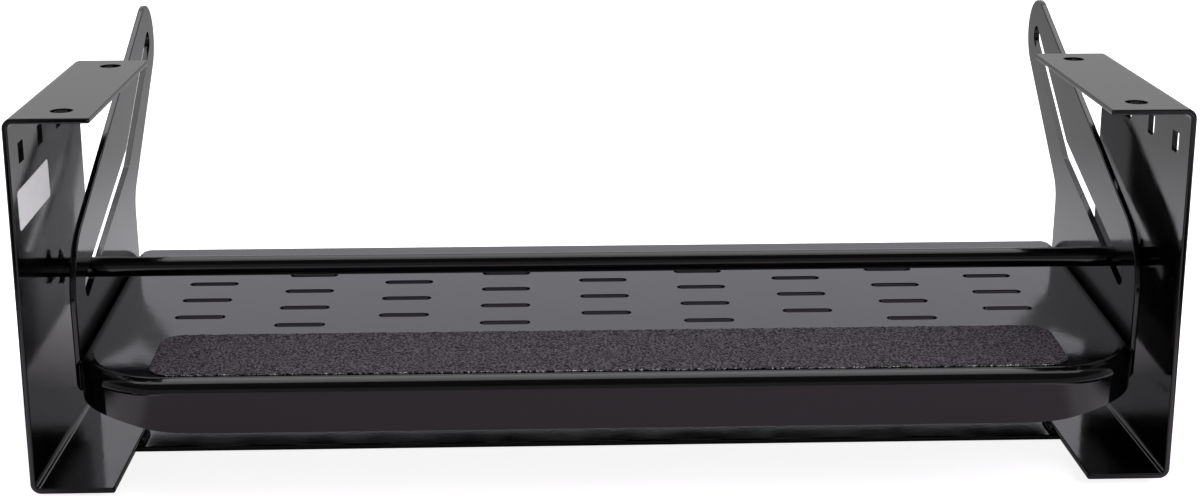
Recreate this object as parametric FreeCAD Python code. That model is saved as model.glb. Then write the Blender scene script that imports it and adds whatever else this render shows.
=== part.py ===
import FreeCAD
import Part
import math
import os

# Pull-out entry step that bolts under a caravan floor.
# Frame: X across the step, Y towards the vehicle, Z up, in millimetres.
# Origin: centre of the four bolt holes, on the top faces of the brackets.

# Side brackets, each one folded plate with a flange at the top and at the bottom
STEP_WIDTH = 609.6
BRACKET_HEIGHT = 203.2
BRACKET_DEPTH = 165.1
BRACKET_SHEET = 3.0
FLANGE_WIDTH = 44.45
BEND_RADIUS = 5.5
FLANGE_CORNER = 1.5
EDGE_BREAK = 0.9

# Round bolt holes in the top flanges
BOLT_HOLE_DIA = 11.9
BOLT_FROM_SIDE = 26.5
BOLT_FROM_END = 19.05

# Row of square bolt holes under the top flange of each bracket
SQUARE_HOLE = 11.0
SQUARE_HOLE_COUNT = 4
SQUARE_HOLE_FROM_FRONT = 23.6
SQUARE_HOLE_FROM_REAR = 12.8
SQUARE_HOLE_FROM_TOP = 22.2

# Flat tie plate welded under the bottom flanges, flush with their rear ends
TIE_DEPTH = 97.1
TIE_SHEET = 3.0
TIE_INSET = 6.0
TIE_CORNER = 4.0

# Cross rod through both brackets, and the split pins that keep it there
ROD_DIA = 11.1
ROD_FROM_FRONT = 79.0
ROD_FROM_BOTTOM = 102.7
ROD_RUNNING_GAP = 0.08
ROD_OVERHANG = 4.0
ROD_CHAMFER = 1.0
PIN_DIA = 3.0
PIN_CLEARANCE = 0.1
PIN_INSET = 3.4
PIN_EYE_RADIUS = 1.6
PIN_LEG_DROP = 0.1
PIN_LEG_BEND = 1.9
PIN_LEG_TURN = 80.0
PIN_LEG_TAIL = 3.0

# Tread, one pressed pan open below, measured from the rod with the tread level
TREAD_FRONT = 93.0
TREAD_REAR = 131.4
TREAD_DROP = 32.1
TREAD_SHEET = 2.7
FRONT_SKIRT = 28.6
SIDE_SKIRT = 22.0
REAR_SKIRT = 31.0
SKIRT_SWEEP = 60.0
FRONT_CORNER = 50.8
REAR_CORNER = 8.5
TREAD_EDGE = 7.5
TREAD_SHIFT = 3.8
REST_TILT = 3.0

# Staggered grip slots in the tread
TREAD_SLOT_LENGTH = 28.4
TREAD_SLOT_WIDTH = 6.35
SLOT_COLUMNS = 9
SLOT_ROWS = 4
COLUMN_PITCH = 57.15
ROW_PITCH = 27.9
FIRST_ROW_AHEAD = 9.5

# Grit strip bonded along the front of the tread
STRIP_SIDE_MARGIN = 41.0
STRIP_WIDTH = 59.4
STRIP_SETBACK = 9.0
STRIP_CORNER = 13.0
STRIP_THICKNESS = 0.9

# Arms welded to the sides of the tread, measured from the rod with the tread level
ARM_SHEET = 3.5
ARM_SIDE_GAP = 13.3
ARM_FRONT = 46.5
ARM_SHOULDER = 20.6
ARM_REAR = 129.0
ARM_KNEE = 1.3
ARM_DROP = 55.4
ARM_TIP_RADIUS = 23.0
ARM_SHOULDER_RADIUS = 40.0
ARM_KNEE_RADIUS = 18.0
ARM_FOOT_RADIUS = 5.0

# Bent guide slot of each arm, which runs along the rod as the step is pulled out
GUIDE_WIDTH = 13.0
GUIDE_AHEAD = 16.5
GUIDE_LOW_RUN = 119.0
GUIDE_LOW_ANGLE = 14.9
GUIDE_HIGH_RUN = 102.0
GUIDE_HIGH_ANGLE = 30.3
GUIDE_HANG_GAP = 0.3

# Places that follow from the sizes above
ORIGIN = FreeCAD.Vector(0, 0, 0)
X_AXIS = FreeCAD.Vector(1, 0, 0)
Y_AXIS = FreeCAD.Vector(0, 1, 0)
Z_AXIS = FreeCAD.Vector(0, 0, 1)
SIDE_OUT = STEP_WIDTH / 2
SIDE_IN = SIDE_OUT - BRACKET_SHEET
FRONT_Y = -BRACKET_DEPTH / 2
REAR_Y = BRACKET_DEPTH / 2
BOLT_PITCH = BRACKET_DEPTH - 2 * BOLT_FROM_END
SQUARE_HOLE_ROW = BRACKET_DEPTH - SQUARE_HOLE_FROM_FRONT - SQUARE_HOLE_FROM_REAR
SQUARE_HOLE_PITCH = SQUARE_HOLE_ROW / (SQUARE_HOLE_COUNT - 1)
ROD_Y = FRONT_Y + ROD_FROM_FRONT
ROD_Z = ROD_FROM_BOTTOM - BRACKET_HEIGHT
ROD_RADIUS = ROD_DIA / 2
TREAD_WIDTH = 2 * (SIDE_IN - ARM_SIDE_GAP - ARM_SHEET)
TREAD_TOP = -TREAD_DROP
SIDE_BOTTOM = TREAD_TOP - SIDE_SKIRT
FRONT_BOTTOM = TREAD_TOP - FRONT_SKIRT
REAR_BOTTOM = TREAD_TOP - REAR_SKIRT
CUT_MARGIN = 5.0


def mirrored(shape):
    return shape.mirror(ORIGIN, X_AXIS)


def seated(shape):
    """Carry a piece drawn about the rod, tread level and central, to its place in the side play."""
    placed = shape.copy()
    placed.rotate(ORIGIN, X_AXIS, REST_TILT)
    placed.translate(FreeCAD.Vector(TREAD_SHIFT, ROD_Y, ROD_Z))
    return placed


def rounded_wire(corners):
    """Closed wire through (point, radius) corners, with a tangent arc at each corner that has a radius."""
    edges = []
    stops = []
    for i, (point, radius) in enumerate(corners):
        back = (corners[i - 1][0] - point).normalize()
        ahead = (corners[(i + 1) % len(corners)][0] - point).normalize()
        half_angle = back.getAngle(ahead) / 2
        reach = radius / math.tan(half_angle)
        bisector = (back + ahead).normalize()
        middle = point + bisector * (radius / math.sin(half_angle) - radius)
        stops.append((point + back * reach, middle, point + ahead * reach, radius))
    for i, (start, middle, end, radius) in enumerate(stops):
        if radius > 0:
            edges.append(Part.Arc(start, middle, end).toShape())
        following = stops[(i + 1) % len(stops)][0]
        edges.append(Part.LineSegment(end, following).toShape())
    return Part.Wire(edges)


def prism(corners, travel):
    return Part.Face(rounded_wire(corners)).extrude(travel)


def capsule(start, end, width, travel):
    """Round-ended slot of the given width from one end centre to the other, along travel."""
    along = (end - start).normalize()
    across = along.cross(travel).normalize() * (width / 2)
    tip = along * (width / 2)
    edges = [
        Part.LineSegment(start + across, end + across).toShape(),
        Part.Arc(end + across, end + tip, end - across).toShape(),
        Part.LineSegment(end - across, start - across).toShape(),
        Part.Arc(start - across, start - tip, start + across).toShape(),
    ]
    return Part.Face(Part.Wire(edges)).extrude(travel)


def runs_along(edge, axis):
    """True for a straight edge along the axis."""
    ends = edge.Vertexes
    if len(ends) < 2 or not isinstance(edge.Curve, Part.Line):
        return False
    return abs((ends[1].Point - ends[0].Point).normalize().dot(axis)) > 0.999


def bracket():
    """Right bracket: a folded channel that opens towards the middle of the step."""
    flange_end = SIDE_OUT - FLANGE_WIDTH
    bottom = -BRACKET_HEIGHT
    inner_bend = BEND_RADIUS - BRACKET_SHEET
    profile = [
        (FreeCAD.Vector(flange_end, FRONT_Y, 0), 0),
        (FreeCAD.Vector(SIDE_OUT, FRONT_Y, 0), BEND_RADIUS),
        (FreeCAD.Vector(SIDE_OUT, FRONT_Y, bottom), BEND_RADIUS),
        (FreeCAD.Vector(flange_end, FRONT_Y, bottom), 0),
        (FreeCAD.Vector(flange_end, FRONT_Y, bottom + BRACKET_SHEET), 0),
        (FreeCAD.Vector(SIDE_IN, FRONT_Y, bottom + BRACKET_SHEET), inner_bend),
        (FreeCAD.Vector(SIDE_IN, FRONT_Y, -BRACKET_SHEET), inner_bend),
        (FreeCAD.Vector(flange_end, FRONT_Y, -BRACKET_SHEET), 0),
    ]
    channel = prism(profile, Y_AXIS * BRACKET_DEPTH)
    corners = [e for e in channel.Edges if runs_along(e, Z_AXIS) and e.Length < BRACKET_SHEET * 1.01]
    channel = channel.makeFillet(FLANGE_CORNER, corners)
    channel = channel.makeFillet(EDGE_BREAK, sheet_rim(channel, flange_end))
    return channel.cut(bracket_holes())


def sheet_rim(channel, flange_end):
    """Edges round the rim of the folded sheet, without bend lines and the seams at the flange corners."""
    rim = []
    for edge in channel.Edges:
        seam = runs_along(edge, Z_AXIS) and edge.Length < BRACKET_SHEET * 1.01
        bend_line = runs_along(edge, Y_AXIS) and edge.Vertexes[0].Point.x > flange_end + FLANGE_CORNER
        if not seam and not bend_line:
            rim.append(edge)
    return rim


def bracket_holes():
    """Bolt holes of the top flange, square holes of the side plate and the rod's hole."""
    holes = []
    for y in (-BOLT_PITCH / 2, BOLT_PITCH / 2):
        base = FreeCAD.Vector(SIDE_OUT - BOLT_FROM_SIDE, y, -BRACKET_SHEET - CUT_MARGIN)
        holes.append(Part.makeCylinder(BOLT_HOLE_DIA / 2, BRACKET_SHEET + 2 * CUT_MARGIN, base, Z_AXIS))
    for i in range(SQUARE_HOLE_COUNT):
        y = FRONT_Y + SQUARE_HOLE_FROM_FRONT + i * SQUARE_HOLE_PITCH
        z = -SQUARE_HOLE_FROM_TOP
        low = FreeCAD.Vector(SIDE_IN - CUT_MARGIN, y - SQUARE_HOLE / 2, z - SQUARE_HOLE / 2)
        holes.append(Part.makeBox(BRACKET_SHEET + 2 * CUT_MARGIN, SQUARE_HOLE, SQUARE_HOLE, low))
    rod_start = FreeCAD.Vector(SIDE_IN - CUT_MARGIN, ROD_Y, ROD_Z)
    holes.append(
        Part.makeCylinder(ROD_RADIUS + ROD_RUNNING_GAP, BRACKET_SHEET + 2 * CUT_MARGIN, rod_start, X_AXIS)
    )
    return Part.makeCompound(holes)


def tie_plate():
    half = SIDE_OUT - TIE_INSET
    bottom = -BRACKET_HEIGHT - TIE_SHEET
    front = REAR_Y - TIE_DEPTH
    corners = [
        (FreeCAD.Vector(-half, front, bottom), TIE_CORNER),
        (FreeCAD.Vector(half, front, bottom), TIE_CORNER),
        (FreeCAD.Vector(half, REAR_Y, bottom), TIE_CORNER),
        (FreeCAD.Vector(-half, REAR_Y, bottom), TIE_CORNER),
    ]
    plate = prism(corners, Z_AXIS * TIE_SHEET)
    return plate.makeFillet(EDGE_BREAK, top_rim(plate, bottom + TIE_SHEET) + top_rim(plate, bottom))


def top_rim(shape, height):
    """Edges of a shape that lie wholly at one height."""
    return [e for e in shape.Edges if all(abs(v.Point.z - height) < 1e-6 for v in e.Vertexes)]


def pin_place(side):
    return FreeCAD.Vector(side * (SIDE_IN - PIN_INSET), ROD_Y, ROD_Z)


def cross_rod():
    half = SIDE_OUT + ROD_OVERHANG
    rod = Part.makeCylinder(ROD_RADIUS, 2 * half, FreeCAD.Vector(-half, ROD_Y, ROD_Z), X_AXIS)
    rims = [e for e in rod.Edges if isinstance(e.Curve, Part.Circle)]
    rod = rod.makeChamfer(ROD_CHAMFER, rims)
    for side in (-1, 1):
        start = pin_place(side) - Z_AXIS * ROD_DIA
        rod = rod.cut(Part.makeCylinder(PIN_DIA / 2 + PIN_CLEARANCE, 2 * ROD_DIA, start, Z_AXIS))
    return rod


def split_pin(side):
    """Split pin that stands through the rod: an eye on top, and two half-round legs bent apart below."""
    pin_radius = PIN_DIA / 2
    wire_radius = pin_radius / 2
    eye_height = ROD_RADIUS + PIN_CLEARANCE + PIN_EYE_RADIUS + wire_radius
    eye = Part.makeTorus(PIN_EYE_RADIUS, wire_radius, Z_AXIS * eye_height, X_AXIS)
    bend_height = -ROD_RADIUS - PIN_LEG_DROP
    shank_length = eye_height - PIN_EYE_RADIUS + wire_radius - bend_height
    shank = Part.makeCylinder(pin_radius, shank_length, Z_AXIS * bend_height, Z_AXIS)
    leg = bent_leg(pin_radius, bend_height)
    other_leg = leg.mirror(ORIGIN, Y_AXIS)
    pin = shank.multiFuse([eye, leg, other_leg]).removeSplitter()
    pin.translate(pin_place(side))
    return pin


def bent_leg(radius, height):
    """One leg of the split pin below the rod: a half-round wire turned outwards, with a straight tail."""
    top = Z_AXIS * height
    arc = Part.Arc(top - X_AXIS * radius, top + Y_AXIS * radius, top + X_AXIS * radius).toShape()
    flat = Part.LineSegment(top + X_AXIS * radius, top - X_AXIS * radius).toShape()
    section = Part.Face(Part.Wire([arc, flat]))
    pivot = top + Y_AXIS * PIN_LEG_BEND
    turn = section.revolve(pivot, X_AXIS, PIN_LEG_TURN)
    end = section.copy()
    end.rotate(pivot, X_AXIS, PIN_LEG_TURN)
    angle = math.radians(PIN_LEG_TURN)
    outwards = FreeCAD.Vector(0, math.sin(angle), -math.cos(angle))
    return turn.fuse(end.extrude(outwards * PIN_LEG_TAIL))


def tread_plan(inset, height):
    """Corners of the tread's plan, drawn in by inset, at one height."""
    half = TREAD_WIDTH / 2 - inset
    front = -TREAD_FRONT + inset
    rear = TREAD_REAR - inset
    return [
        (FreeCAD.Vector(-half, front, height), FRONT_CORNER - inset),
        (FreeCAD.Vector(half, front, height), FRONT_CORNER - inset),
        (FreeCAD.Vector(half, rear, height), REAR_CORNER - inset),
        (FreeCAD.Vector(-half, rear, height), REAR_CORNER - inset),
    ]


def dome_block(inset):
    """Solid block of the tread's plan with a rounded upper rim, drawn in by inset on the top and sides."""
    top = TREAD_TOP - inset
    block = prism(tread_plan(inset, REAR_BOTTOM), Z_AXIS * (top - REAR_BOTTOM))
    return block.makeFillet(TREAD_EDGE - inset, top_rim(block, top))


def skirt_sweep(front):
    """Points of the skirt's lower edge at the right, seen from the front: two equal arcs that join."""
    half_run = SKIRT_SWEEP / 2
    half_rise = (SIDE_BOTTOM - FRONT_BOTTOM) / 2
    radius = (half_run ** 2 + half_rise ** 2) / (2 * half_rise)
    half_turn = math.asin(half_run / radius) / 2
    bow = FreeCAD.Vector(radius * math.sin(half_turn), 0, radius * (1 - math.cos(half_turn)))
    low = FreeCAD.Vector(TREAD_WIDTH / 2 - TREAD_EDGE - SKIRT_SWEEP, front, FRONT_BOTTOM)
    high = low + FreeCAD.Vector(SKIRT_SWEEP, 0, SIDE_BOTTOM - FRONT_BOTTOM)
    return low, low + bow, (low + high) / 2, high - bow, high


def skirt_trim():
    """What is cut off below the right half of the front and side skirts; the rear skirt stays deep."""
    front = -TREAD_FRONT - CUT_MARGIN
    outside = TREAD_WIDTH / 2 + CUT_MARGIN
    under = REAR_BOTTOM - CUT_MARGIN
    low, low_bow, middle, high_bow, high = skirt_sweep(front)
    corners = [
        high,
        FreeCAD.Vector(outside, front, SIDE_BOTTOM),
        FreeCAD.Vector(outside, front, under),
        FreeCAD.Vector(0, front, under),
        FreeCAD.Vector(0, front, FRONT_BOTTOM),
        low,
    ]
    edges = [Part.Arc(low, low_bow, middle).toShape(), Part.Arc(middle, high_bow, high).toShape()]
    for start, end in zip(corners, corners[1:]):
        edges.append(Part.LineSegment(start, end).toShape())
    return Part.Face(Part.Wire(edges)).extrude(Y_AXIS * (TREAD_REAR - 2 * REAR_CORNER - front))


def tread_slots():
    """Slots in columns across the tread, with every other column half a pitch further back."""
    slots = []
    reach = X_AXIS * ((TREAD_SLOT_LENGTH - TREAD_SLOT_WIDTH) / 2)
    travel = Z_AXIS * (TREAD_SHEET + 2 * CUT_MARGIN)
    for column in range(SLOT_COLUMNS):
        x = (column - (SLOT_COLUMNS - 1) / 2) * COLUMN_PITCH
        stagger = ROW_PITCH / 2 if column % 2 == 0 else 0
        for row in range(SLOT_ROWS):
            y = -FIRST_ROW_AHEAD + stagger + row * ROW_PITCH
            centre = FreeCAD.Vector(x, y, TREAD_TOP - TREAD_SHEET - CUT_MARGIN)
            slots.append(capsule(centre - reach, centre + reach, TREAD_SLOT_WIDTH, travel))
    return Part.makeCompound(slots)


def tread():
    trim = skirt_trim()
    pan = dome_block(0).cut(dome_block(TREAD_SHEET))
    pan = pan.cut(trim).cut(mirrored(trim)).cut(tread_slots())
    return pan.removeSplitter()


def grip_strip():
    half = TREAD_WIDTH / 2 - STRIP_SIDE_MARGIN
    front = -TREAD_FRONT + STRIP_SETBACK
    corners = [
        (FreeCAD.Vector(-half, front, TREAD_TOP), STRIP_CORNER),
        (FreeCAD.Vector(half, front, TREAD_TOP), STRIP_CORNER),
        (FreeCAD.Vector(half, front + STRIP_WIDTH, TREAD_TOP), STRIP_CORNER),
        (FreeCAD.Vector(-half, front + STRIP_WIDTH, TREAD_TOP), STRIP_CORNER),
    ]
    return prism(corners, Z_AXIS * STRIP_THICKNESS)


def heading(angle_deg):
    """Direction in the side view, measured up from the line towards the vehicle."""
    angle = math.radians(angle_deg)
    return FreeCAD.Vector(0, math.cos(angle), math.sin(angle))


def guide_points(x):
    """Front end, bend and rear end of the guide slot's centre line; the arm hangs on the rod."""
    low = heading(GUIDE_LOW_ANGLE)
    hang = GUIDE_WIDTH / 2 - ROD_RADIUS - GUIDE_HANG_GAP
    on_rod = FreeCAD.Vector(x, 0, 0) - heading(GUIDE_LOW_ANGLE + 90) * hang
    bend = on_rod + low * GUIDE_LOW_RUN
    return on_rod - low * GUIDE_AHEAD, bend, bend + heading(GUIDE_HIGH_ANGLE) * GUIDE_HIGH_RUN


def tangent_heading(point, centre, radius):
    """Heading from a point to the circle's side: a positive radius passes above it, a negative one below."""
    to_centre = centre - point
    return math.degrees(math.atan2(to_centre.z, to_centre.y) + math.asin(radius / to_centre.Length))


def crossing(first, first_angle, second, second_angle):
    """Where two lines of the side view meet."""
    a = heading(first_angle)
    b = heading(second_angle)
    between = second - first
    along = (between.y * b.z - between.z * b.y) / (a.y * b.z - a.z * b.y)
    return first + a * along


def arm():
    """Right arm: a plate that rises from the tread to a rounded tip behind the brackets."""
    x = TREAD_WIDTH / 2
    front_end, bend, rear_end = guide_points(x)
    shoulder = FreeCAD.Vector(x, -ARM_FRONT, ARM_SHOULDER)
    knee = FreeCAD.Vector(x, ARM_REAR, ARM_KNEE)
    upper = tangent_heading(shoulder, rear_end, ARM_TIP_RADIUS)
    lower = tangent_heading(knee, rear_end, -ARM_TIP_RADIUS)
    tip = crossing(shoulder, upper, knee, lower)
    outline = [
        (FreeCAD.Vector(x, -ARM_FRONT, -ARM_DROP), ARM_FOOT_RADIUS),
        (shoulder, ARM_SHOULDER_RADIUS),
        (tip, ARM_TIP_RADIUS),
        (knee, ARM_KNEE_RADIUS),
        (FreeCAD.Vector(x, ARM_REAR, -ARM_DROP), ARM_FOOT_RADIUS),
    ]
    plate = prism(outline, X_AXIS * ARM_SHEET)
    rims = [e for e in plate.Edges if abs(e.Vertexes[0].Point.x - e.Vertexes[-1].Point.x) < 1e-6]
    plate = plate.makeFillet(EDGE_BREAK, rims)
    through = X_AXIS * (ARM_SHEET + 2 * CUT_MARGIN)
    set_back = X_AXIS * CUT_MARGIN
    low_slot = capsule(front_end - set_back, bend - set_back, GUIDE_WIDTH, through)
    high_slot = capsule(bend - set_back, rear_end - set_back, GUIDE_WIDTH, through)
    return plate.cut(low_slot.fuse(high_slot))


def main():
    right_bracket = bracket()
    right_arm = arm()
    pieces = {
        "left_bracket": mirrored(right_bracket),
        "right_bracket": right_bracket,
        "tie_plate": tie_plate(),
        "cross_rod": cross_rod(),
        "left_split_pin": split_pin(-1),
        "right_split_pin": split_pin(1),
        "tread": seated(tread()),
        "left_arm": seated(mirrored(right_arm)),
        "right_arm": seated(right_arm),
        "grip_strip": seated(grip_strip()),
    }
    os.makedirs("parts", exist_ok=True)
    for name, shape in pieces.items():
        shape.exportStep("parts/" + name + ".step")


main()
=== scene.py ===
import math
import random

import bpy
from mathutils import Matrix, Vector


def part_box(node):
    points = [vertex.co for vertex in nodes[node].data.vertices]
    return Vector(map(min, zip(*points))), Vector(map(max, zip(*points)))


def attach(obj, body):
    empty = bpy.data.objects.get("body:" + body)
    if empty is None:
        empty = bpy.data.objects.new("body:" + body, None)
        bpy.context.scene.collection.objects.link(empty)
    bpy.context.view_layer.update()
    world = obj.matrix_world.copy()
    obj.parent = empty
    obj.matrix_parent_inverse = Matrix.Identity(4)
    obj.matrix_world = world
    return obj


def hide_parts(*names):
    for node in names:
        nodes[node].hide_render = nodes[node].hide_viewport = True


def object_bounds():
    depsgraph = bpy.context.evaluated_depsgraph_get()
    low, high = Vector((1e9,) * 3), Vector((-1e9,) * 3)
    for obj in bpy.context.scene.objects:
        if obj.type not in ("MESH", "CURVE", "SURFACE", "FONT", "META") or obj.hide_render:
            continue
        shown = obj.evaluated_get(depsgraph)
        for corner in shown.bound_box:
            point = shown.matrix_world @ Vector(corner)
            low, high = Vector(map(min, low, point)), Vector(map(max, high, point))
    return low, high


# Looks of a pull-out caravan entry step, in metres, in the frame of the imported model.

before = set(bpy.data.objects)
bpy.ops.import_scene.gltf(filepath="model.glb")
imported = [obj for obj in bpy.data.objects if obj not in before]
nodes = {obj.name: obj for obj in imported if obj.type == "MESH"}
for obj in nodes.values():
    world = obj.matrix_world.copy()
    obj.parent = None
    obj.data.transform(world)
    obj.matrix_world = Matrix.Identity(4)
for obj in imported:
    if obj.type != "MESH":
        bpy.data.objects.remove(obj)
cad_low, cad_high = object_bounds()

# Camera of the photograph, whose frame is 1200 by 496 pixels
CAMERA_PLACE = (-0.03682, -1.09666, 0.21022)
CAMERA_PITCH = math.radians(15.477)
CAMERA_YAW = math.radians(-1.932)
CAMERA_ROLL = math.radians(-0.0735)
SENSOR_WIDTH = 36.0
LENS = 61.02

# Gloss black paint: haze in its roughness and tone, and a fine orange peel
PAINT_IOR = 1.4
HAZE_SCALE = 45.0
HAZE_DETAIL = 3.0
PAINT_ROUGHNESS = (0.075, 0.13)
PAINT_TONES = ((0.0014, 0.0013, 0.0015), (0.0026, 0.0024, 0.0028))
PEEL_SCALE = 330.0
PEEL_STRENGTH = 0.06
PEEL_HEIGHT = 0.0004
NOISE_MIDDLE = (0.3, 0.7)
FINE_DETAIL = 2.0

# Bare label on the inner face of the left bracket
LABEL_CENTRE_Y = -0.0383
LABEL_CENTRE_Z = -0.0501
LABEL_LENGTH = 0.0686
LABEL_HEIGHT = 0.0212
LABEL_CORNER = 0.0024
LABEL_THICKNESS = 0.00015
LABEL_TURN = math.radians(1.8)
BRACKET_SHEET = 0.003
LABEL_CORNER_STEPS = 6
MOTTLE_SCALE = 160.0
MOTTLE_DETAIL = 3.0
LABEL_TONES = ((0.80, 0.80, 0.81), (0.90, 0.90, 0.90))
LABEL_ROUGHNESS = (0.42, 0.55)

# Grit strip: its grain and steep rim, how ragged its cut edge is, and the bare specks there
GRAIN_PITCH = 0.0012
GRAIN_HEIGHT = 0.0005
EDGE_RAGGED = 0.0004
EDGE_RIM = 0.0003
STRIP_CORNER = 0.013
GRIT_SCALE = 850.0
GRIT_COLOURS = ((0.45, (0.0004, 0.0003, 0.0005)), (0.57, (0.055, 0.043, 0.056)))
GRIT_SPECULAR = 0.22
GRIT_ROUGHNESS = (0.85, 0.5)
GRIT_BUMP_STRENGTH = 1.0
GRIT_BUMP_HEIGHT = 0.0006
BARE_SHARE = 0.55
BARE_SCALE = 1500.0
BARE_ROUGHNESS = 0.8
BARE_COLOURS = ((0.48, (0.004, 0.004, 0.004)), (0.60, (0.90, 0.88, 0.86)))
SEED = 7

# Weld beads, and the places on the sheets that they join
BEAD_LEG = 0.0032
BEAD_RIPPLE = 0.0024
BEAD_RIPPLE_DEPTH = 0.10
BEAD_STEP = 0.0004
BEAD_ARC_POINTS = 7
BEAD_FLAT = 0.82
BEAD_BULGE = 0.10
BEAD_END_SQUARENESS = 8
BEAD_END_SHARE = 0.05
FEWEST_STEPS = 4
REST_TILT = math.radians(3.0)
ARM_FRONT = 0.0465
SIDE_BEAD_TOP = 0.0375
SIDE_BEAD_FOOT = 0.0545
STITCH_LENGTH = 0.022
STITCH_PLACES = (-0.001, 0.060)

# Studio: levels by the height of a direction, behind and in front, and where they change
SURROUND = (
    (0.0, (0.45, 0.45, 0.45)),
    (0.19, (0.60, 0.60, 0.60)),
    (0.37, (0.98, 0.97, 1.05)),
    (1.0, (1.04, 1.03, 1.11)),
)
ROOM = (
    (0.0, (0.35, 0.35, 0.35)),
    (0.33, (0.42, 0.42, 0.42)),
    (0.48, (0.08, 0.08, 0.08)),
    (1.0, (0.08, 0.08, 0.08)),
)
ROOM_TO_SURROUND = (-0.25, 0.15)
SIDE_LEVEL = 0.22
SIDE_FALL = (0.42, 0.72)
SIDE_RISE = (0.86, 0.96)

# Lamps
SOFTBOX_POWER = 32.0
SOFTBOX_SIZE = (2.6, 2.0)
SOFTBOX_PLACE = (0.0, 0.45, 1.6)
SOFTBOX_TARGET = (0.0, 0.45, 0.0)
FILL_POWER = 20.0
FILL_SIZE = (1.2, 1.2)
FILL_PLACE = (1.5, -0.5, 0.9)
FILL_TARGET = (-0.3, 0.0, -0.05)

# Floor: its colours from front to rear and at the sides, where they change, and its glow; the colours hold
# painted shade near the step and far behind it and a painted dark at the front sides, and a painted
# reflection glow runs along the sheet's front edges
FLOOR_REACH = 9.0
FLOOR_FRONT = (0.66, 0.56, 0.66)
# Painted shade: the floor colour near the step, darker where the step's shade falls
FLOOR_PAINTED_SHADE_NEAR = (0.20, 0.185, 0.20)
FLOOR_REAR = (0.61, 0.61, 0.63)
# Painted shade: the floor colour far behind the step
FLOOR_PAINTED_SHADE_FAR = (0.36, 0.36, 0.36)
FLOOR_SIDE = (0.70, 0.68, 0.70)
# Painted shade: black floor colour at the front sides, beyond the sheet, seen only in reflections
FLOOR_PAINTED_DARK = (0.0, 0.0, 0.0)
FRONT_TO_NEAR = (-0.08, 0.08)
NEAR_TO_REAR = (0.12, 0.40)
REAR_TO_FAR = (0.42, 0.80)
FLOOR_GLOW = 0.88
MIRROR_GLOW = 0.08
SHEET_END = (0.37, 0.42)
# Painted reflection: a band of glow along the sheet's front edges, seen only by glossy rays
PAINTED_REFLECTION_BAND = (0.285, 0.325)
PAINTED_EDGE_REFLECTION = 0.65
SIDE_SHEET = (0.50, 0.62)
SIDE_SHEET_FRONT = (-0.09, -0.02)
BESIDE_STEP = (0.33, 0.38)


def new_mesh(name, verts, faces, material, body):
    """Make a smooth mesh piece that rides on a body."""
    mesh = bpy.data.meshes.new(name)
    mesh.from_pydata(verts, [], faces)
    mesh.update()
    for polygon in mesh.polygons:
        polygon.use_smooth = True
    mesh.materials.append(material)
    piece = bpy.data.objects.new(name, mesh)
    bpy.context.scene.collection.objects.link(piece)
    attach(piece, body)
    return piece


def new_material(name):
    """Material with its node tree and shader."""
    material = bpy.data.materials.new(name)
    material.use_nodes = True
    tree = material.node_tree
    return material, tree, tree.nodes["Principled BSDF"]


def noise_node(tree, scale, detail, coordinates):
    node = tree.nodes.new("ShaderNodeTexNoise")
    node.inputs["Scale"].default_value = scale
    node.inputs["Detail"].default_value = detail
    tree.links.new(coordinates, node.inputs["Vector"])
    return node


def object_coordinates(tree):
    return tree.nodes.new("ShaderNodeTexCoord").outputs["Object"]


def value_range(tree, source, low, high):
    """Spread a texture's middle values over a range."""
    node = tree.nodes.new("ShaderNodeMapRange")
    node.inputs["From Min"].default_value, node.inputs["From Max"].default_value = NOISE_MIDDLE
    node.inputs["To Min"].default_value = low
    node.inputs["To Max"].default_value = high
    tree.links.new(source, node.inputs["Value"])
    return node.outputs["Result"]


def blend(tree, factor, first, second):
    """Mix of two colours, each a socket or plain numbers."""
    node = tree.nodes.new("ShaderNodeMix")
    node.data_type = "RGBA"
    tree.links.new(factor, node.inputs["Factor"])
    for name, colour in (("A", first), ("B", second)):
        if isinstance(colour, tuple):
            node.inputs[name].default_value = colour + (1,)
        else:
            tree.links.new(colour, node.inputs[name])
    return node.outputs["Result"]


def colour_ramp(tree, source, stops):
    """Colour that follows a value, through (value, colour) stops."""
    node = tree.nodes.new("ShaderNodeValToRGB")
    elements = node.color_ramp.elements
    while len(elements) < len(stops):
        elements.new(1.0)
    for element, (place, colour) in zip(elements, stops):
        element.position = place
        element.color = colour + (1,)
    tree.links.new(source, node.inputs["Fac"])
    return node.outputs["Color"]


def bump(tree, source, strength, distance, shader):
    node = tree.nodes.new("ShaderNodeBump")
    node.inputs["Strength"].default_value = strength
    node.inputs["Distance"].default_value = distance
    tree.links.new(source, node.inputs["Height"])
    tree.links.new(node.outputs["Normal"], shader.inputs["Normal"])


def gloss_black():
    """Gloss black paint with a fine orange peel and a little haze."""
    material, tree, shader = new_material("gloss_black")
    place = object_coordinates(tree)
    shader.inputs["IOR"].default_value = PAINT_IOR
    haze = noise_node(tree, HAZE_SCALE, HAZE_DETAIL, place).outputs["Fac"]
    tree.links.new(value_range(tree, haze, *PAINT_ROUGHNESS), shader.inputs["Roughness"])
    tree.links.new(blend(tree, haze, *PAINT_TONES), shader.inputs["Base Color"])
    peel = noise_node(tree, PEEL_SCALE, FINE_DETAIL, place).outputs["Fac"]
    bump(tree, peel, PEEL_STRENGTH, PEEL_HEIGHT, shader)
    return material


def grit():
    """Dark mineral grit in a resin coat, with a few pale grains."""
    material, tree, shader = new_material("grit")
    shader.inputs["Specular IOR Level"].default_value = GRIT_SPECULAR
    grain = noise_node(tree, GRIT_SCALE, FINE_DETAIL, object_coordinates(tree)).outputs["Fac"]
    tree.links.new(colour_ramp(tree, grain, GRIT_COLOURS), shader.inputs["Base Color"])
    tree.links.new(value_range(tree, grain, *GRIT_ROUGHNESS), shader.inputs["Roughness"])
    bump(tree, grain, GRIT_BUMP_STRENGTH, GRIT_BUMP_HEIGHT, shader)
    return material


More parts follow.
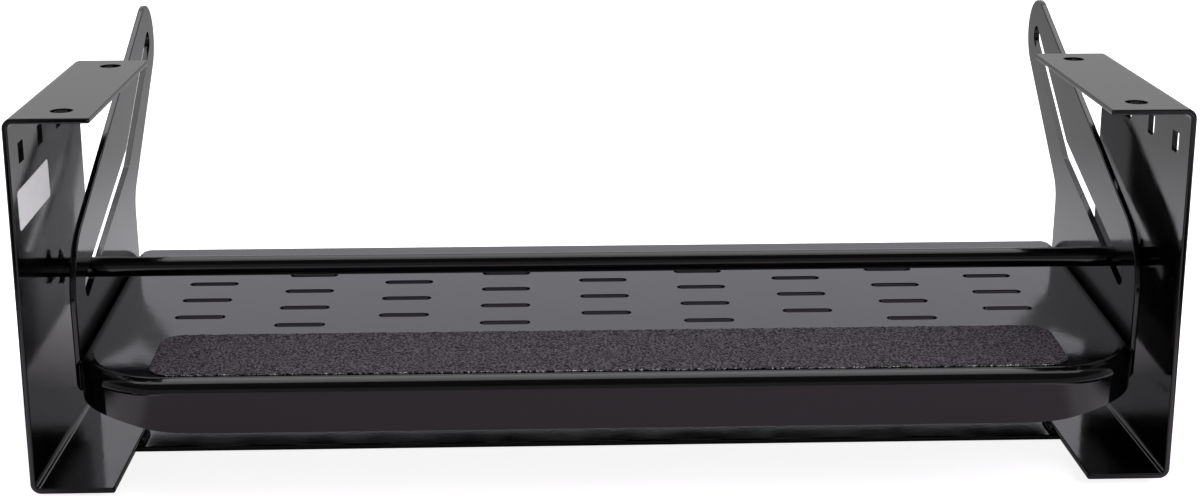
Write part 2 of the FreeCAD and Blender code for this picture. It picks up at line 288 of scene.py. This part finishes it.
def label_film():
    """Pale plastic film with faint mottling."""
    material, tree, shader = new_material("label_film")
    mottle = noise_node(tree, MOTTLE_SCALE, MOTTLE_DETAIL, object_coordinates(tree)).outputs["Fac"]
    tree.links.new(blend(tree, mottle, *LABEL_TONES), shader.inputs["Base Color"])
    tree.links.new(value_range(tree, mottle, *LABEL_ROUGHNESS), shader.inputs["Roughness"])
    return material


def bare_backing():
    """Pale backing of the strip, bare where grit has come off its cut edge."""
    material, tree, shader = new_material("bare_backing")
    speck = noise_node(tree, BARE_SCALE, FINE_DETAIL, object_coordinates(tree)).outputs["Fac"]
    tree.links.new(colour_ramp(tree, speck, BARE_COLOURS), shader.inputs["Base Color"])
    shader.inputs["Roughness"].default_value = BARE_ROUGHNESS
    return material


def dress_nodes(paint):
    """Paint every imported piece."""
    for node in nodes.values():
        node.data.materials.clear()
        node.data.materials.append(paint)


def strip_axes():
    """Middle of the strip's underside, its three directions, half its length and width, and its thickness."""
    mesh = nodes["grip_strip"].data
    top = max(mesh.polygons, key=lambda p: p.area * (p.normal.z > 0.5))
    normal = top.normal.copy()
    across = Vector((1, 0, 0))
    along = normal.cross(across).normalized()
    points = [v.co for v in mesh.vertices]
    spread = [p.dot(along) for p in points]
    heights = [p.dot(normal) for p in points]
    reach = [p.x for p in points]
    middle = along * ((min(spread) + max(spread)) / 2) + normal * min(heights)
    middle += across * ((min(reach) + max(reach)) / 2)
    half_width = (max(spread) - min(spread)) / 2
    half_length = (max(reach) - min(reach)) / 2
    return middle, across, along, normal, half_length, half_width, max(heights) - min(heights)


def grain_lines(half):
    """Places of the grain's points from edge to edge, with a steep rim at both ends."""
    inner = half - EDGE_RIM
    count = max(FEWEST_STEPS, round(2 * inner / GRAIN_PITCH))
    return [-half] + [inner * (2 * i / count - 1) for i in range(count + 1)] + [half]


def grit_strip(material, backing):
    """Closed strip with a rough grain on top, a steep ragged rim and bare spots along its front edge."""
    rng = random.Random(SEED)
    middle, across, along, normal, half_length, half_width, thickness = strip_axes()
    rows = grain_lines(half_width)
    columns = grain_lines(half_length)
    last_row = len(rows) - 1
    last_column = len(columns) - 1
    verts = []
    for i, w in enumerate(rows):
        inset = max(0.0, abs(w) - (half_width - STRIP_CORNER))
        reach = half_length - STRIP_CORNER + math.sqrt(STRIP_CORNER ** 2 - inset ** 2)
        for j, s in enumerate(columns):
            x = s * reach / half_length
            y = w
            if i in (0, last_row) or j in (0, last_column):
                x -= math.copysign(rng.random() * EDGE_RAGGED, s)
                y -= math.copysign(rng.random() * EDGE_RAGGED, w)
                height = 0.0
            else:
                height = thickness - GRAIN_HEIGHT * rng.random()
                x += (rng.random() - 0.5) * EDGE_RIM
                y += (rng.random() - 0.5) * EDGE_RIM
            verts.append(middle + across * x + along * y + normal * height)
    width = len(columns)
    faces = []
    for i in range(last_row):
        for j in range(last_column):
            a = i * width + j
            faces.append((a, a + 1, a + width + 1, a + width))
    front = list(range(width))
    right = [i * width + last_column for i in range(1, last_row)]
    rear = [last_row * width + j for j in reversed(range(width))]
    left = [i * width for i in reversed(range(1, last_row))]
    faces.append(tuple(reversed(front + right + rear + left)))
    piece = new_mesh("grit_surface", verts, faces, material, "step")
    piece.data.materials.append(backing)
    for polygon in piece.data.polygons[:last_column]:
        polygon.material_index = int(rng.random() < BARE_SHARE)
    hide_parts("grip_strip")


def label(material):
    """Thin film with rounded corners on the inner face of the left bracket."""
    low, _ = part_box("left_bracket")
    face_x = low.x + BRACKET_SHEET
    outline = []
    for corner in range(4):
        turn = math.pi / 2 * corner
        cy = (LABEL_LENGTH / 2 - LABEL_CORNER) * (1 if corner in (0, 3) else -1)
        cz = (LABEL_HEIGHT / 2 - LABEL_CORNER) * (1 if corner in (0, 1) else -1)
        for step in range(LABEL_CORNER_STEPS + 1):
            angle = turn + math.pi / 2 * step / LABEL_CORNER_STEPS
            outline.append((cy + LABEL_CORNER * math.cos(angle), cz + LABEL_CORNER * math.sin(angle)))
    verts = []
    for x in (face_x, face_x + LABEL_THICKNESS):
        for y, z in outline:
            turned_y = y * math.cos(LABEL_TURN) - z * math.sin(LABEL_TURN)
            turned_z = y * math.sin(LABEL_TURN) + z * math.cos(LABEL_TURN)
            verts.append((x, LABEL_CENTRE_Y + turned_y, LABEL_CENTRE_Z + turned_z))
    count = len(outline)
    faces = [tuple(range(count, 2 * count)), tuple(reversed(range(count)))]
    for i in range(count):
        j = (i + 1) % count
        faces.append((i, j, count + j, count + i))
    piece = new_mesh("bare_label", verts, faces, material, "frame")
    for polygon in piece.data.polygons:
        polygon.use_smooth = False


def weld_bead(name, start, end, first, second, material, body):
    """Closed, rippled fillet bead along a corner, between the two directions that leave the corner line."""
    run = end - start
    count = max(FEWEST_STEPS, round(run.length / BEAD_STEP))
    ring = BEAD_ARC_POINTS + 1
    verts = []
    for i in range(count + 1):
        t = i / count
        taper = math.sqrt(max(0.0, 1 - abs(2 * t - 1) ** BEAD_END_SQUARENESS))
        ripple = 1 + BEAD_RIPPLE_DEPTH * math.cos(2 * math.pi * t * run.length / BEAD_RIPPLE)
        leg = BEAD_LEG * max(BEAD_END_SHARE, taper) * ripple
        base = start + run * t
        verts.append(base)
        for k in range(BEAD_ARC_POINTS):
            angle = math.pi / 2 * k / (BEAD_ARC_POINTS - 1)
            radius = leg * (BEAD_FLAT + BEAD_BULGE * math.sin(2 * angle))
            verts.append(base + (first * math.cos(angle) + second * math.sin(angle)) * radius)
    faces = [tuple(range(ring)), tuple(reversed(range(count * ring, (count + 1) * ring)))]
    for i in range(count):
        for k in range(ring):
            a = i * ring + k
            b = i * ring + (k + 1) % ring
            faces.append((a, a + ring, b + ring, b))
    bead = new_mesh(name, verts, faces, material, body)


def side_beads(material):
    """Upright beads between the front edges of the arms and the sides of the tread."""
    rod_low, rod_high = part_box("cross_rod")
    tread_low, tread_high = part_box("tread")
    seat = (rod_low + rod_high) / 2
    seat.x = (tread_low.x + tread_high.x) / 2
    half = (tread_high.x - tread_low.x) / 2
    tilt = Matrix.Rotation(REST_TILT, 3, "X")
    for word, side in (("left", -1), ("right", 1)):
        top = seat + tilt @ Vector((side * half, -ARM_FRONT, -SIDE_BEAD_TOP))
        foot = seat + tilt @ Vector((side * half, -ARM_FRONT, -SIDE_BEAD_FOOT))
        forward = tilt @ Vector((0, -1, 0))
        weld_bead(word + "_arm_bead", top, foot, forward, Vector((side, 0, 0)), material, "step")


def stitch_beads(material):
    """Short beads that hold the free edges of the bottom flanges on the tie plate."""
    for word, side in (("left", -1), ("right", 1)):
        low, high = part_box(word + "_bracket")
        edge = high.x if side < 0 else low.x
        for number, y in enumerate(STITCH_PLACES, 1):
            start = Vector((edge, y - STITCH_LENGTH / 2, low.z))
            end = Vector((edge, y + STITCH_LENGTH / 2, low.z))
            name = "%s_stitch_%d" % (word, number)
            weld_bead(name, start, end, Vector((-side, 0, 0)), Vector((0, 0, 1)), material, "frame")


def math_node(tree, operation, first, second):
    """Result of a sum, product or the like of two sockets or plain numbers."""
    node = tree.nodes.new("ShaderNodeMath")
    node.operation = operation
    for socket, value in zip(node.inputs, (first, second)):
        if isinstance(value, (int, float)):
            socket.default_value = value
        else:
            tree.links.new(value, socket)
    return node.outputs["Value"]


def smooth_step(tree, source, change, low=0.0, high=1.0):
    """Value that goes smoothly from low to high while the source passes through a change."""
    node = tree.nodes.new("ShaderNodeMapRange")
    node.interpolation_type = "SMOOTHSTEP"
    node.inputs["From Min"].default_value, node.inputs["From Max"].default_value = change
    node.inputs["To Min"].default_value = low
    node.inputs["To Max"].default_value = high
    tree.links.new(source, node.inputs["Value"])
    return node.outputs["Result"]


def product(tree, first, second):
    return math_node(tree, "MULTIPLY", first, second)


def larger(tree, first, second):
    return math_node(tree, "MAXIMUM", first, second)


def one_less(tree, value):
    return math_node(tree, "SUBTRACT", 1.0, value)


def place_parts(tree, coordinates):
    """Distance to either side, Y and Z of coordinates."""
    parts = tree.nodes.new("ShaderNodeSeparateXYZ")
    tree.links.new(coordinates, parts.inputs["Vector"])
    aside = math_node(tree, "ABSOLUTE", parts.outputs["X"], 0.0)
    return aside, parts.outputs["Y"], parts.outputs["Z"]


def backdrop():
    """Flat floor under the step, whose material holds painted shade and a painted reflection."""
    z = cad_low.z
    corners = [(-FLOOR_REACH, -FLOOR_REACH, z), (FLOOR_REACH, -FLOOR_REACH, z)]
    corners += [(FLOOR_REACH, FLOOR_REACH, z), (-FLOOR_REACH, FLOOR_REACH, z)]
    mesh = bpy.data.meshes.new("floor")
    mesh.from_pydata(corners, [], [(0, 1, 2, 3)])
    floor = bpy.data.objects.new("floor", mesh)
    bpy.context.scene.collection.objects.link(floor)
    mesh.materials.append(floor_white())


def floor_white():
    """Floor that is white to the eye, keeps the shadow, and is graded where the paint mirrors it, with
    painted shade near the step and far behind, a painted dark at the front sides and a painted reflection
    glow at the sheet's front edges.
    """
    material = bpy.data.materials.new("floor_white")
    material.use_nodes = True
    tree = material.node_tree
    tree.nodes.clear()
    aside, depth, _ = place_parts(tree, object_coordinates(tree))
    middle = smooth_step(tree, aside, SHEET_END, 1.0, 0.0)
    behind = smooth_step(tree, depth, SIDE_SHEET_FRONT)
    beside = product(tree, behind, smooth_step(tree, aside, BESIDE_STEP))
    outer = larger(tree, beside, smooth_step(tree, aside, SIDE_SHEET))
    sheet = larger(tree, larger(tree, middle, behind), outer)
    # Floor colour from front to rear, with painted shade near the step and far behind it
    shaded_near = blend(tree, smooth_step(tree, depth, FRONT_TO_NEAR), FLOOR_FRONT, FLOOR_PAINTED_SHADE_NEAR)
    rear = blend(tree, smooth_step(tree, depth, NEAR_TO_REAR), shaded_near, FLOOR_REAR)
    shaded_far = blend(tree, smooth_step(tree, depth, REAR_TO_FAR), rear, FLOOR_PAINTED_SHADE_FAR)
    wide = blend(tree, outer, shaded_far, FLOOR_SIDE)
    diffuse = tree.nodes.new("ShaderNodeBsdfDiffuse")
    # Outside the sheet the floor colour is a painted dark, which the paint mirrors as dark sides
    tree.links.new(blend(tree, sheet, FLOOR_PAINTED_DARK, wide), diffuse.inputs["Color"])

    path = tree.nodes.new("ShaderNodeLightPath")
    seen = larger(tree, path.outputs["Is Camera Ray"], path.outputs["Is Transmission Ray"])
    white = one_less(tree, product(tree, sheet, 1.0 - FLOOR_GLOW))
    ahead = product(tree, middle, one_less(tree, behind))
    # Painted reflection: glow along the sheet's front edges that only glossy rays see, lighting the skirt's
    # corners
    edge = product(tree, ahead, smooth_step(tree, aside, PAINTED_REFLECTION_BAND, 0.0, PAINTED_EDGE_REFLECTION))
    dim = math_node(tree, "ADD", product(tree, sheet, MIRROR_GLOW), edge)
    mirrored = product(tree, path.outputs["Is Glossy Ray"], dim)
    level = math_node(tree, "ADD", product(tree, seen, white), mirrored)
    glow = tree.nodes.new("ShaderNodeEmission")
    tree.links.new(level, glow.inputs["Strength"])

    both = tree.nodes.new("ShaderNodeAddShader")
    tree.links.new(diffuse.outputs["BSDF"], both.inputs[0])
    tree.links.new(glow.outputs["Emission"], both.inputs[1])
    out = tree.nodes.new("ShaderNodeOutputMaterial")
    tree.links.new(both.outputs["Shader"], out.inputs["Surface"])
    return material


def studio():
    """Pale surround behind, a dim room in front, a softbox overhead and a fill from the right."""
    world = bpy.data.worlds.new("studio")
    bpy.context.scene.world = world
    world.use_nodes = True
    tree = world.node_tree
    background = tree.nodes["Background"]
    direction = tree.nodes.new("ShaderNodeTexCoord").outputs["Generated"]
    aside, depth, height = place_parts(tree, direction)
    rearward = smooth_step(tree, depth, ROOM_TO_SURROUND)
    room = colour_ramp(tree, height, ROOM)
    surround = colour_ramp(tree, height, SURROUND)
    tree.links.new(blend(tree, rearward, room, surround), background.inputs["Color"])
    fall = smooth_step(tree, aside, SIDE_FALL, 0.0, 1.0 - SIDE_LEVEL)
    kept = smooth_step(tree, aside, SIDE_RISE, 1.0, 0.0)
    loss = product(tree, product(tree, fall, kept), rearward)
    tree.links.new(one_less(tree, loss), background.inputs["Strength"])
    area_lamp("softbox", SOFTBOX_SIZE, SOFTBOX_POWER, SOFTBOX_PLACE, SOFTBOX_TARGET)
    fill = area_lamp("fill", FILL_SIZE, FILL_POWER, FILL_PLACE, FILL_TARGET)
    fill.visible_glossy = False


def area_lamp(name, size, power, place, target):
    """Rectangular lamp at a place, turned towards a target."""
    light = bpy.data.lights.new(name, "AREA")
    light.shape = "RECTANGLE"
    light.size, light.size_y = size
    light.energy = power
    lamp = bpy.data.objects.new(name, light)
    lamp.location = place
    lamp.rotation_euler = (Vector(target) - Vector(place)).to_track_quat("-Z", "Y").to_euler()
    bpy.context.scene.collection.objects.link(lamp)
    return lamp


def photo_camera():
    """Camera with the photograph's place, angle and lens."""
    data = bpy.data.cameras.new("photo_camera")
    data.sensor_fit = "HORIZONTAL"
    data.sensor_width = SENSOR_WIDTH
    data.lens = LENS
    camera = bpy.data.objects.new("photo_camera", data)
    aim = Matrix.Rotation(CAMERA_YAW, 4, "Z") @ Matrix.Rotation(math.pi / 2 - CAMERA_PITCH, 4, "X")
    roll = Matrix.Rotation(CAMERA_ROLL, 4, "Z")
    camera.matrix_world = Matrix.Translation(CAMERA_PLACE) @ aim @ roll
    bpy.context.scene.collection.objects.link(camera)
    bpy.context.scene.camera = camera


photo_camera()
studio()
backdrop()
paint = gloss_black()
dress_nodes(paint)
grit_strip(grit(), bare_backing())
side_beads(paint)
stitch_beads(paint)
label(label_film())
bpy.context.scene.view_settings.view_transform = "Standard"
